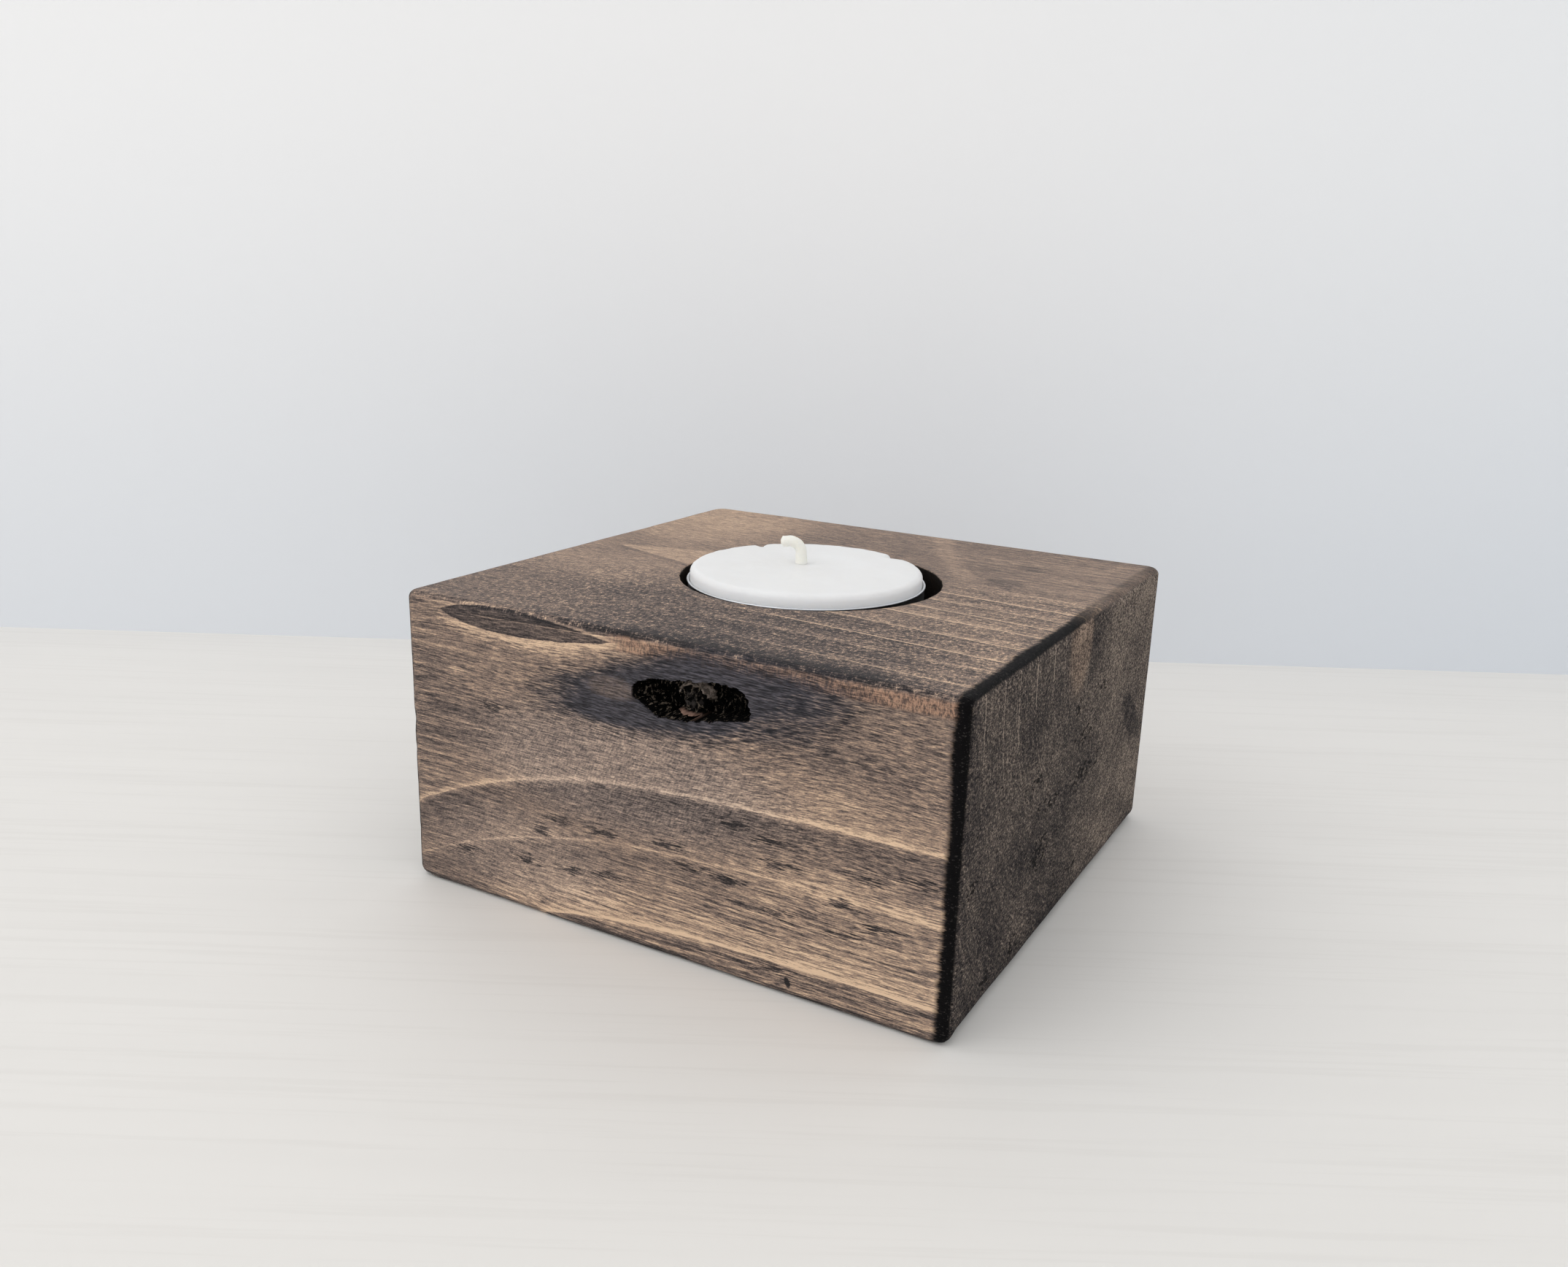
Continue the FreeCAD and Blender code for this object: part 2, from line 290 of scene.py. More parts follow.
# The outline of the open knot on the front face: distance right of the middle, and height.
KNOT_OUTLINE = [
    (-3.7, 38.0), (-2.8, 39.3), (-0.5, 40.1), (3.5, 40.6), (7.5, 41.0), (9.4, 41.4), (13.4, 41.1),
    (14.8, 39.8), (15.0, 38.1), (14.3, 36.9), (10.0, 36.1), (5.5, 35.1), (0.6, 34.8), (-1.2, 35.6),
    (-2.3, 36.4), (-3.5, 36.8),
]
KNOT_HEART = (5.6, 37.6)
STUB = (4.4, 37.4)
LEDGE = (4.2, 35.6)
KNOT_SAMPLES = 260
KNOT_WALL_ROWS = 12
KNOT_FLOOR_ROWS = 30
KNOT_DEPTH = 4.6


def knot_edge():
    """Points evenly spaced round the knot's ragged outline."""
    corners = np.array(KNOT_OUTLINE)
    closed = np.vstack([corners, corners[:1]])
    steps = np.linalg.norm(np.diff(closed, axis=0), axis=1)
    along = np.concatenate([[0], np.cumsum(steps)])
    places = np.linspace(0, along[-1], KNOT_SAMPLES, endpoint=False)
    across = np.interp(places, along, closed[:, 0])
    up = np.interp(places, along, closed[:, 1])
    points = np.stack([across, up], 1)
    smooth = sum(np.roll(points, shift, axis=0) for shift in range(-3, 4)) / 7
    out = smooth - np.array(KNOT_HEART)
    out /= np.linalg.norm(out, axis=1)[:, None]
    ragged = [0.34 * wobble((x, 0, z), 0.8, 2.0) + 0.32 * wobble((x, 0, z), 0.3, 4.0)
              for x, z in smooth]
    return smooth + out * np.array(ragged)[:, None]


def knot_depth_at(across, up):
    """How deep the hollow is: torn fibres, with the stub of the branch standing in the middle,
    a curved lip over it and a ledge under it."""
    depth = KNOT_DEPTH
    depth += 0.9 * wobble((across, 0, up * 0.35), 0.8, 1.0)
    depth += 0.5 * wobble((across, 0, up * 0.5), 0.33, 6.0)
    from_heart = math.hypot(across - STUB[0], (up - STUB[1]) * 1.05)
    depth -= 2.4 * max(0.0, 1 - (from_heart / 2.6) ** 2)
    lip = math.exp(-((from_heart - 2.35) / 0.33) ** 2)
    if up > 37.9:
        depth -= 1.5 * lip
    ledge = math.exp(-((up - LEDGE[1] - 0.06 * (LEDGE[0] - across)) / 0.26) ** 2)
    if abs(across - LEDGE[0]) < 1.9:
        depth -= 2.2 * ledge
    return max(0.8, depth)


def make_knot_cutter():
    edge = knot_edge()
    heart = np.array(KNOT_HEART)
    vertices = []
    wall_depths = np.concatenate([[-0.8], np.linspace(0, KNOT_DEPTH * 0.75, KNOT_WALL_ROWS)])
    for depth in wall_depths:
        inward = 1.0 - 0.02 * max(0.0, depth)
        for x, z in edge:
            rough = 0.22 * wobble((x * 1.5, depth, z * 1.5), 0.6, 7.0) if depth > 0.2 else 0.0
            spot = heart + (np.array([x, z]) - heart) * (inward + rough * 0.1)
            vertices.append((spot[0], FRONT + depth, spot[1]))
    for row in range(KNOT_FLOOR_ROWS):
        share = 0.9 * (1 - row / KNOT_FLOOR_ROWS)
        for x, z in edge:
            spot = heart + (np.array([x, z]) - heart) * share
            vertices.append((spot[0], FRONT + knot_depth_at(*spot), spot[1]))
    vertices.append((heart[0], FRONT + knot_depth_at(*heart), heart[1]))
    rows = len(wall_depths) + KNOT_FLOOR_ROWS
    return new_solid("knot_cutter", vertices, pointed_faces(rows, KNOT_SAMPLES))


def carve(item, cutters):
    """Cuts the cutters out of a piece and leaves the result in its mesh."""
    for cutter in cutters:
        step = item.modifiers.new("carve", "BOOLEAN")
        step.operation = "DIFFERENCE"
        step.solver = "EXACT"
        step.object = cutter
        bpy.context.view_layer.update()
        carved = item.evaluated_get(bpy.context.evaluated_depsgraph_get())
        result = bpy.data.meshes.new_from_object(carved)
        item.modifiers.clear()
        item.data = result
        bpy.data.objects.remove(cutter)


block = make_block_blank()
carve(block, [make_pocket_cutter(), make_knot_cutter()])
shade(block, 50)

# ------------ wax puck mesh

WAX_SIDES = 240
CUP_WALL = 0.25
CUP_MOUTH_RADIUS = 18.55
WAX_GAP = 0.08
WAX_RADIUS = CUP_MOUTH_RADIUS - CUP_WALL - WAX_GAP
WAX_CROWN = 0.12
WAX_TAPER = 0.25
WAX_SHOULDER = 0.95

# Two chips in the far side of the wax's shoulder and a dent beside one: the place and half width
# of each in degrees, and its depth. Each is cut off sharply on one side.
WAX_CHIPS = ((66.0, 3.4, 1.5), (146.0, 3.0, 1.2), (60.0, 6.0, 0.35))
CHIP_SHARPNESS = 2.2


def wax_chip_at(angle):
    depth = 0.0
    for at, width, size in WAX_CHIPS:
        off = (math.degrees(angle) - at + 180) % 360 - 180
        if off > 0:
            off *= CHIP_SHARPNESS
        depth += size * math.exp(-(off / width) ** 2)
    return depth


def wax_profile(low, edge_level):
    """Radius and height of each ring: the base, the side, the round shoulder and the low crown."""
    profile = [(0.02, low), (WAX_RADIUS * 0.5, low), (WAX_RADIUS - 0.5, low),
               (WAX_RADIUS - 0.28, low + 0.2)]
    side_rise = RIM_LEVEL - low - 0.4
    profile += [(WAX_RADIUS - WAX_TAPER + WAX_TAPER * share, low + 0.4 + side_rise * share)
                for share in np.linspace(0.02, 1, 14)]
    flat = WAX_RADIUS - WAX_SHOULDER
    profile += [(flat + WAX_SHOULDER * math.cos(bend),
                 edge_level - WAX_SHOULDER + WAX_SHOULDER * math.sin(bend))
                for bend in np.linspace(0, math.pi / 2, 9)]
    for share in np.linspace(0.03, 0.995, 40):
        distance = flat * (1 - share)
        profile.append((distance, edge_level + WAX_CROWN * (1 - (distance / flat) ** 2)))
    return profile


def make_wax():
    edge_level = WAX_HIGH[2] - WAX_CROWN
    profile = wax_profile(WAX_LOW[2], edge_level)
    vertices = []
    for distance, level in profile:
        proud = share_of(level, RIM_LEVEL, edge_level)
        near_edge = share_of(distance, WAX_RADIUS - 2.6, WAX_RADIUS - 0.8)
        for angle, right, back in circle(WAX_SIDES):
            x = distance * right
            y = distance * back
            rough = 0.05 * wobble((x, y, level), 3.0, 1.5) + 0.035 * wobble((x, y, level), 0.9, 2.5)
            pull = proud * near_edge * (wax_chip_at(angle) + 0.10 * abs(wobble((x, y, 0), 1.6, 9.0)))
            inward = 1 - (pull * 0.7) / max(distance, 1.0)
            drop = pull * 0.55 + (rough if proud > 0 else 0.0)
            vertices.append((CUP_CENTRE[0] + x * inward, CUP_CENTRE[1] + y * inward, level - drop))
    return new_solid("wax_puck", vertices, capped_faces(len(profile), WAX_SIDES))


wax = make_wax()
shade(wax, 60)

# ------------ cup mesh

CUP_SIDES = 240
CUP_BASE_RADIUS = 18.3
RIM_DROP = 0.15
CUP_RIM_RADIUS = 18.74
BEAD_RADIUS = 0.2
FLUTES = 60
FLUTE_DEPTH = 0.045
CUP_DENT = 0.05

# Radius, and height over the cup's base, of the floor and foot ring: the outside from the middle
# to the wall, and the inside from the wall back to the middle.
CUP_FOOT_OUTSIDE = [
    (0.02, 0.35), (8.0, 0.35), (15.2, 0.35), (15.6, 0.28), (16.0, 0.06), (16.4, 0.0), (17.3, 0.0),
    (17.9, 0.12), (18.25, 0.45), (18.36, 0.9),
]
CUP_FOOT_INSIDE = [
    (18.0, 0.65), (17.6, 0.35), (17.2, 0.25), (16.5, 0.25), (16.0, 0.4), (15.7, 0.58), (15.2, 0.6),
    (8.0, 0.6), (0.02, 0.6),
]


def cup_profile(low, top):
    outer = [(distance, low + up) for distance, up in CUP_FOOT_OUTSIDE]
    wall_low = low + 1.2
    wall_top = top - 0.45
    outer += [(CUP_BASE_RADIUS + (CUP_MOUTH_RADIUS - CUP_BASE_RADIUS) * share,
               wall_low + (wall_top - wall_low) * share) for share in np.linspace(0, 1, 16)]
    bead = [(CUP_RIM_RADIUS - BEAD_RADIUS + BEAD_RADIUS * math.cos(bend),
             top - BEAD_RADIUS + BEAD_RADIUS * math.sin(bend))
            for bend in np.radians(np.linspace(-80, 135, 11))]
    inner = [(distance - CUP_WALL, level + 0.02) for distance, level in outer[::-1]
             if level > low + 1.0]
    inner += [(distance, low + up) for distance, up in CUP_FOOT_INSIDE]
    return outer + bead + inner


def make_cup():
    """A thin drawn shell: floor pressed up inside a foot ring, fluted wall and rolled rim."""
    low = CUP_LOW[2]
    top = RIM_LEVEL - RIM_DROP
    profile = cup_profile(low, top)
    vertices = []
    for distance, level in profile:
        fluted = share_of(level, low + 1.5, low + 4.5) * share_of(level, top - 0.3, top - 2.3)
        for angle, right, back in circle(CUP_SIDES):
            wide = distance
            if distance > 17:
                wide += FLUTE_DEPTH * math.cos(FLUTES * angle) * fluted
                wide += CUP_DENT * wobble((20 * right, 20 * back, level * 0.6), 3.0, 4.0)
            wide = min(wide, CUP_RIM_RADIUS)
            vertices.append((CUP_CENTRE[0] + wide * right, CUP_CENTRE[1] + wide * back, level))
    return new_solid("drawn_cup", vertices, capped_faces(len(profile), CUP_SIDES))


cup = make_cup()
shade(cup, 50)

# ------------ wick mesh

WICK_SIDES = 24
WICK_STEP = 0.12
WICK_TIP = 1.45
BRAID_PITCH = 2.6
BRAID_RELIEF = 0.04
WAX_FLARE = 0.15


def wick_path():
    """Points along the wick's middle, from the sustainer, up through the wax and over."""
    bend_level = WICK_HIGH[2] - WICK_RADIUS - WICK_BEND
    points = [np.array([0.0, 0.0, level]) for level in np.arange(WICK_LOW[2], bend_level, WICK_STEP)]
    for turn in np.radians(np.linspace(5, 90, 18)):
        points.append(np.array([-WICK_BEND * (1 - math.cos(turn)), 0,
                                bend_level + WICK_BEND * math.sin(turn)]))
    for run in np.arange(WICK_STEP, WICK_TIP, WICK_STEP):
        points.append(np.array([-WICK_BEND - run, 0, bend_level + WICK_BEND - 0.10 * run]))
    return points


def make_wick():
    path = wick_path()
    vertices = []
    travelled = 0.0
    turn = Matrix.Rotation(WICK_TURN, 3, "Z")
    base = Vector((WICK_CENTRE[0], WICK_CENTRE[1], 0))
    side_way = Vector((0, 1, 0))
    for index, point in enumerate(path):
        ahead = path[min(index + 1, len(path) - 1)] - path[max(index - 1, 0)]
        up_way = Vector(ahead).normalized().cross(side_way)
        if index:
            travelled += float(np.linalg.norm(point - path[index - 1]))
        left = len(path) - 1 - index
        end = min(1.0, 0.35 + 0.22 * left) if left < 3 else 1.0
        height = (point[2] - WICK_LOW[2]) / (WICK_HIGH[2] - WICK_LOW[2])
        middle = Vector(point) + Vector((-WICK_LEAN * height ** 2, 0, 0))
        flare = WAX_FLARE * math.exp(-abs(point[2] - WAX_HIGH[2]) / 1.2)
        phase = 2 * math.pi * travelled / BRAID_PITCH
        for angle, aside, up in circle(WICK_SIDES):
            weave = abs(math.cos(1.5 * angle + phase) * math.cos(1.5 * angle - phase))
            radius = WICK_RADIUS * (1 - BRAID_RELIEF + BRAID_RELIEF * weave + flare) * end
            vertices.append(turn @ (middle + side_way * radius * aside + up_way * radius * up) + base)
    return new_solid("braided_wick", vertices, capped_faces(len(path), WICK_SIDES))


wick = make_wick()
shade(wick, 70)

# ------------ material graphs


def colour(red, green, blue):
    """A colour seen on screen, 0 to 255 each, as the linear light a shader takes."""
    def linear(number):
        share = number / 255
        return share / 12.92 if share <= 0.04045 else ((share + 0.055) / 1.055) ** 2.4
    return (linear(red), linear(green), linear(blue), 1.0)


class Graph:
    """A material's node tree, built by short calls. Numbers and sockets can be mixed."""

    def __init__(self, name):
        self.material = bpy.data.materials.new(name)
        self.material.use_nodes = True
        self.tree = self.material.node_tree
        self.tree.nodes.clear()
        place = self.tree.nodes.new("ShaderNodeTexCoord").outputs["Object"]
        self.place = self.vector("MULTIPLY", place, (1 / MM, 1 / MM, 1 / MM))
        parts = self.node("ShaderNodeSeparateXYZ", {0: self.place})
        self.x, self.y, self.z = parts.outputs

    def node(self, kind, inputs, **settings):
        """A new node, with each input linked to a socket or set to a number."""
        item = self.tree.nodes.new(kind)
        for key, setting in settings.items():
            setattr(item, key, setting)
        for key, source in inputs.items():
            socket = item.inputs[key]
            if isinstance(source, bpy.types.NodeSocket):
                self.tree.links.new(source, socket)
            else:
                socket.default_value = source
        return item

    def math(self, operation, first, second=0.0):
        return self.node("ShaderNodeMath", {0: first, 1: second}, operation=operation).outputs[0]

    def add(self, first, second):
        return self.math("ADD", first, second)

    def take(self, first, second):
        return self.math("SUBTRACT", first, second)

    def times(self, first, second):
        return self.math("MULTIPLY", first, second)

    def most(self, first, second):
        return self.math("MAXIMUM", first, second)

    def least(self, first, second):
        return self.math("MINIMUM", first, second)

    def size(self, source):
        return self.math("ABSOLUTE", source)

    def product(self, first, second, third):
        return self.times(self.times(first, second), third)

    def more(self, level, mask, amount):
        """Raised by the amount where the mask is 1."""
        return self.add(level, self.times(mask, amount))

    def less(self, level, mask, amount):
        """Lowered by the amount where the mask is 1."""
        return self.take(level, self.times(mask, amount))

    def length(self, first, second):
        """The long side of a right triangle with these short sides."""
        return self.math("SQRT", self.add(self.times(first, first), self.times(second, second)))

    def rise(self, source, start, end):
        """0 below start, 1 above end, and a smooth rise between. It falls if end < start."""
        low, high = (0.0, 1.0) if start < end else (1.0, 0.0)
        inputs = {"Value": source, "From Min": min(start, end), "From Max": max(start, end),
                  "To Min": low, "To Max": high}
        return self.node("ShaderNodeMapRange", inputs, interpolation_type="SMOOTHSTEP").outputs[0]

    def band(self, source, low, full, still, high):
        """0 below low, 1 from full to still, and 0 above high."""
        return self.times(self.rise(source, low, full), self.rise(source, high, still))

    def vector(self, operation, first, second):
        inputs = {0: first, 1: second}
        return self.node("ShaderNodeVectorMath", inputs, operation=operation).outputs[0]

    def join(self, x, y, z):
        return self.node("ShaderNodeCombineXYZ", {0: x, 1: y, 2: z}).outputs[0]

    def noise(self, stretch, detail, roughness, seed, place=None):
        """Noise from 0 to 1. stretch is how many features fit in a millimetre each way."""
        place = self.place if place is None else place
        moved = self.vector("ADD", place, (seed * 13.1, seed * 7.7, seed * 5.3))
        scaled = self.vector("MULTIPLY", moved, stretch)
        inputs = {"Vector": scaled, "Scale": 1.0, "Detail": detail, "Roughness": roughness}
        return self.node("ShaderNodeTexNoise", inputs).outputs["Fac"]

    def swing(self, *shape, place=None):
        """The same noise, from -0.5 to 0.5."""
        return self.take(self.noise(*shape, place), 0.5)

    def ramp(self, source, stops):
        """A colour or grey for each place on a scale from 0 to 1."""
        item = self.node("ShaderNodeValToRGB", {"Fac": source})
        points = item.color_ramp.elements
        while len(points) < len(stops):
            points.new(0.5)
        for point, (place, shown) in zip(points, stops):
            point.position = place
            point.color = colour(*shown) if isinstance(shown, tuple) else (shown, shown, shown, 1.0)
        return item.outputs["Color"]

    def mix(self, share, *ends, blend="MIX"):
        """A blend of two colours, each a socket or a colour seen on screen."""
        first, second = [colour(*end) if isinstance(end, tuple) else end for end in ends]
        inputs = {"Factor": share, 6: first, 7: second}
        return self.node("ShaderNodeMix", inputs, data_type="RGBA", blend_type=blend).outputs[2]

    def bump(self, height, strength, distance):
        inputs = {"Height": height, "Strength": strength, "Distance": distance * MM}
        return self.node("ShaderNodeBump", inputs).outputs["Normal"]

    def finish(self, **inputs):
        """Ends the tree in a Principled shader, and gives the material."""
        sockets = {name.replace("_", " "): source for name, source in inputs.items()}
        shader = self.node("ShaderNodeBsdfPrincipled", sockets)
        end = self.tree.nodes.new("ShaderNodeOutputMaterial")
        self.tree.links.new(shader.outputs[0], end.inputs[0])
        return self.material


def wear(item, material):
    item.data.materials.clear()
    item.data.materials.append(material)


# ------------ stained pine: its layout

# The tree's rings: how far the late wood of each lies from the pith.
RINGS = [4.5, 9, 13.6, 18.3, 25.2, 31.7, 37.2, 43.7, 51.15, 55, 61.4, 69]
RING_DARKNESS = [0.3] * 7 + [0.25, 1, 0.45, 0.9]
RING_REACH = 80
RING_SPACE = 10
PITH_BACK = 5
PITH_UP = 43
PITH_DROP = 11.8
RINGS_LEVEL_AT = 43
TOP_SLOPE = 0.078

# Dark flecks in the front face: place of each across and up, and the half sizes of all.
FLECKS = [
    (-19.5, 13.7), (-15.8, 16), (-8.5, 16), (2, 16.8), (5.5, 14.5), (11.5, 14.2), (19.5, 18.5),
    (18.5, 21.5), (13, 22.5), (-14, 8.6), (-7.5, 9.6), (-22.5, 8.2), (20, 11.6), (34.3, 13.6),
    (39.8, 21.3), (32.4, 19.6), (29, 15.6), (-34.5, 7), (-27.5, 30.7), (30, 11.3), (19.5, 3.6),
]
FLECK_HALF = (3.3, 0.8)

# Groups of open pores in the right end: middle of each along Y and up, and its half sizes.
PORE_GROUPS = [
    (5.5, 27, 4.6, 1.3), (5.5, 20.8, 7, 1.4), (1.5, 32.2, 2.2, 0.9), (12.5, 32.6, 3, 0.9),
    (-10, 21.5, 3.4, 1.1), (-17, 27, 3, 1.1), (-13.5, 14.5, 4.2, 2.2), (-31.5, 4, 2.6, 1),
    (-21, 4, 2, 1.6), (-3, 6.8, 1.6, 0.9), (4, 6, 1.4, 0.8), (-38, 20, 2.5, 1),
]

# Ovals on the front face: middle, half sizes, and the tilt of some.
BENT_GRAIN = (KNOT_HEART, (17, 7.5))
UNDER_KNOT = ((-6, 25.5), (29, 9.5))
LOW_LEFT = ((-24, 9), (19, 8))
STAIN_BODY = ((4, 38.4), (23, 5.9), 0.15)
STAIN_LEFT = ((-7, 34.2), (11.5, 2.9))
STAIN_PALE = ((-7, 37.6), (4.5, 1.9))
STAR_FLECK = ((21.5, 2.1), (0.5, 0.75), -0.8)
KNOT_MOUTH = ((5.6, 38), (13, 5.6))
STUB_FACE = (STUB, (2.45, 2.25))
LEDGE_FACE = (LEDGE, (1.9, 0.26), -0.06)

# The dark lens at the top left of the front face.
LENS_MIDDLE = -22.4
LENS_HALF = 15.2
LENS_LEVEL = 43.85
LENS_BELOW = 1.9
LENS_ABOVE = 1.55

# Ovals on the top face and on the right end.
TOP_SPOTS = (((27, 14.8), (3.8, 2.4)), ((27, 26.8), (3.2, 2.2)))
END_PATCH = ((-0.8, 44), (6.2, 10))
END_PATCH_HEART = ((-1, 44.5), (2.6, 2.2))
END_FAR = ((28, 9), (17, 8))
END_FAR_SPOT = ((29, 16.5), (3, 2.2))
END_DARK_SPOT = ((32, 22), (6, 3.2), -0.7)

# The pale wedge on the top face: where it starts, and how fast its sides part.
WEDGE_X = -39.5
WEDGE_Y = 1.6
WEDGE_FRONT_SLOPE = 0.31
WEDGE_BACK_SLOPE = 0.30


def oval(g, across, up, centre, half, tilt=0):
    """How far from the middle of an oval: 1 on its edge."""
    run = g.take(across, centre[0])
    lift = g.take(g.take(up, centre[1]), g.times(run, tilt))
    return g.length(g.times(run, 1 / half[0]), g.times(lift, 1 / half[1]))


def front_oval(g, centre, half, tilt=0):
    return oval(g, g.x, g.z, centre, half, tilt)


def end_oval(g, centre, half, tilt=0):
    return oval(g, g.y, g.z, centre, half, tilt)


def blot(g, distance, swing, amount):
    """1 inside an oval and 0 outside, with an edge broken by noise."""
    return g.rise(g.more(distance, swing, amount), 1.10, 0.70)


# ------------ stained pine: grain and rings


def grain_flow(g):
    """The place to look fibres up at: they run along X and part round the open knot."""
    near = g.rise(front_oval(g, *BENT_GRAIN), 1.6, 0.2)
    near = g.times(near, g.rise(g.y, FRONT + 16, FRONT))
    swung = g.more(g.z, near, g.times(g.take(g.z, KNOT_HEART[1]), -0.22))
    warp = g.times(g.swing((0.02, 0.05, 0.05), 2, 0.5, 1), 4)
    return g.join(g.x, g.add(g.y, warp), g.add(swung, warp)), swung


def rings_ahead(g, height):
    """Millimetres of wood from here out to the next ring's late wood, and the distance from the
    pith. The pith dips to the left, and near the top face the rings slope."""
    leftward = g.most(g.times(g.take(RINGS_LEVEL_AT, g.x), 1 / 85), 0)
    pith_up = g.less(PITH_UP, g.math("POWER", leftward, 3.5), PITH_DROP)
    near_top = g.rise(g.z, 42.5, BLOCK_TOP - 0.2)
    sheared = g.more(g.y, g.times(g.take(g.x, RINGS_LEVEL_AT), TOP_SLOPE), near_top)
    radius = g.length(g.take(sheared, PITH_BACK), g.take(height, pith_up))
    broad = g.times(g.swing((0.035, 0.10, 0.10), 2, 0.5, 2), 0.3)
    fine = g.times(g.swing((0.35, 1.2, 1.2), 3, 0.6, 3), 0.22)
    radius = g.add(radius, g.add(broad, fine))
    stops = [(0, RINGS[0] / RING_SPACE)]
    for ring, after in zip(RINGS, RINGS[1:] + [RING_REACH]):
        stops.append(((ring - 0.02) / RING_REACH, 0))
        stops.append(((ring + 0.04) / RING_REACH, min(1, (after - ring) / RING_SPACE)))
    return g.times(g.ramp(g.times(radius, 1 / RING_REACH), stops), RING_SPACE), radius


def ring_shade(g, radius):
    """How dark each ring's early wood is: darkest just outside the ring before it."""
    stops = [(0, 0.1)]
    for ring, after, dark in zip(RINGS, RINGS[1:], RING_DARKNESS):
        stops.append(((ring + 0.04) / RING_REACH, dark))
        stops.append(((after - 0.02) / RING_REACH, dark * 0.25))
    return g.ramp(g.times(radius, 1 / RING_REACH), stops)


# ------------ stained pine: long faces and top

# Each add_ takes the tone, how light the wood is, and gives it back changed. 0.5 is the usual
# brown. front, top and low_right are masks of those parts of the block.


def fibre_tone(g, flow, broad, front, low_right):
    """The even texture of the wood: fine fibres, long dashes and small grains."""
    fibre = g.swing((0.50, 6.2, 6.2), 2, 0.70, 4, place=flow)
    dash = g.swing((0.070, 2.7, 2.7), 3, 0.65, 5, place=flow)
    grains = g.swing((3.6, 6, 6), 1, 0.5, 7)
    rightward = g.times(g.rise(g.x, -6, 26), front)
    tone = g.more(0.50, fibre, g.more(1.30, rightward, 0.35))
    tone = g.more(tone, dash, g.more(0.32, g.times(low_right, front), 1.35))
    tone = g.more(tone, broad, 0.28)
    tone = g.more(tone, grains, 0.40)
    far_left = g.product(g.rise(g.x, -22, -38), front, g.rise(g.z, 8, 18))
    return g.more(tone, far_left, g.take(g.times(dash, 0.9), 0.03)), fibre


def add_ripple_sheen(g, tone, front, low_right):
    """Sanding has left a slanting ripple across the fibres, clearest under the knot. Its light and
    dark stripes are painted into the tone: partly real marks, partly painted sheen.
    """
    slant = g.join(g.add(g.times(g.x, 0.5), g.times(g.z, 0.87)), g.y,
                   g.take(g.times(g.x, 0.87), g.times(g.z, 0.5)))
    ripple = g.swing((1.1, 3.6, 3.6), 2, 0.6, 18, place=slant)
    under_knot = g.rise(front_oval(g, *UNDER_KNOT), 1.2, 0.5)
    low_left = g.rise(front_oval(g, *LOW_LEFT), 1.2, 0.5)
    rippled_sheen = g.times(g.most(under_knot, g.times(low_left, 0.6)), front)
    tone = g.more(tone, g.times(low_left, front), 0.05)
    # Painted sheen: the ripple's light and dark stripes.
    tone = g.more(tone, ripple, g.more(0.15, rippled_sheen, 0.55))
    return g.more(tone, g.more(0.05, low_right, 0.10), front), rippled_sheen


def add_rings(g, tone, ahead, dark_ring, front, top, low_right):
    """Each ring is a sharp light line, with a glow before it and a darker zone after it."""
    lower_lines = g.times(g.rise(g.z, 20, 18), 0.22)
    line_front = g.add(0.62, g.add(g.times(g.rise(g.x, -5, 32), 0.38), lower_lines))
    line_top = g.times(g.rise(g.x, -14, 26), g.rise(g.y, 16, -8))
    strength = g.most(g.take(line_front, top), g.product(line_top, 3.3, top))
    thin = g.times(ahead, g.more(1, top, 0.3))
    tone = g.more(tone, g.rise(thin, 0.55, 0.15), g.times(strength, 0.36))
    glow = g.times(g.rise(thin, 3.3, 0.2), g.more(0.10, low_right, 0.09))
    tone = g.more(tone, glow, g.least(strength, 1))
    away_left = g.more(0.45, g.rise(g.x, -32, 2), 0.55)
    darkness = g.add(g.product(front, away_left, 0.16), g.product(top, line_top, 0.34))
    return g.less(tone, dark_ring, g.add(0.05, darkness))


def add_stubble(g, tone, top):
    """Long streaks on the right of the top, and short fibre ends, thickest in front."""
    streaks = g.swing((0.05, 1.5, 1), 3, 0.70, 24)
    on_right = g.times(top, g.rise(g.x, 4, 26))
    tone = g.more(tone, on_right, g.more(g.times(streaks, 0.75), g.rise(g.y, 8, -4), 0.06))
    stubble = g.swing((2.2, 1.6, 1), 3, 0.80, 23)
    at_front = g.times(g.rise(g.y, 2, -24), g.more(0.55, g.rise(g.x, -40, -16), 0.45))
    at_right = g.product(g.rise(g.x, 12, 28), g.rise(g.y, 18, 2), 0.75)
    crowd = g.times(top, g.more(0.12, g.most(at_front, at_right), 0.88))
    return g.more(tone, crowd, g.more(g.times(stubble, 1.7), g.rise(stubble, 0.07, 0.15), 0.22))


def add_top_shades(g, tone, fibre, top):
    """The top is dark along its front edge and lighter to the left and behind, with a light curved
    streak and two dark spots at the back right."""
    dark_front = g.times(g.rise(g.y, -10, -26), g.more(0.13, g.rise(g.x, -24, 2), 0.06))
    dark_front = g.times(dark_front, g.more(0.2, g.rise(g.x, 41, 26), 0.8))
    dark_edge = g.times(g.rise(g.y, -38.5, -41.5), g.times(g.band(g.x, -16, -2, 30, 42), 0.26))
    light_back = g.times(g.rise(g.y, 2, 26), g.more(0.01, g.rise(g.x, -12, -28), 0.12))
    light_left = g.times(g.rise(g.x, -14, -30), 0.07)
    tone = g.more(tone, top, g.take(g.add(light_back, light_left), g.add(dark_front, dark_edge)))
    back = g.take(g.y, 13)
    curve = g.more(g.take(g.x, 21.5), back, g.less(0.75, back, 0.006))
    streak = g.times(g.rise(g.size(curve), 3.2, 0.6), g.rise(g.y, 9, 15))
    tone = g.more(tone, g.times(streak, top), 0.12)
    spots = g.least(*[oval(g, g.x, g.y, *place) for place in TOP_SPOTS])
    return g.less(tone, top, g.times(blot(g, spots, fibre, 1.4), 0.11))


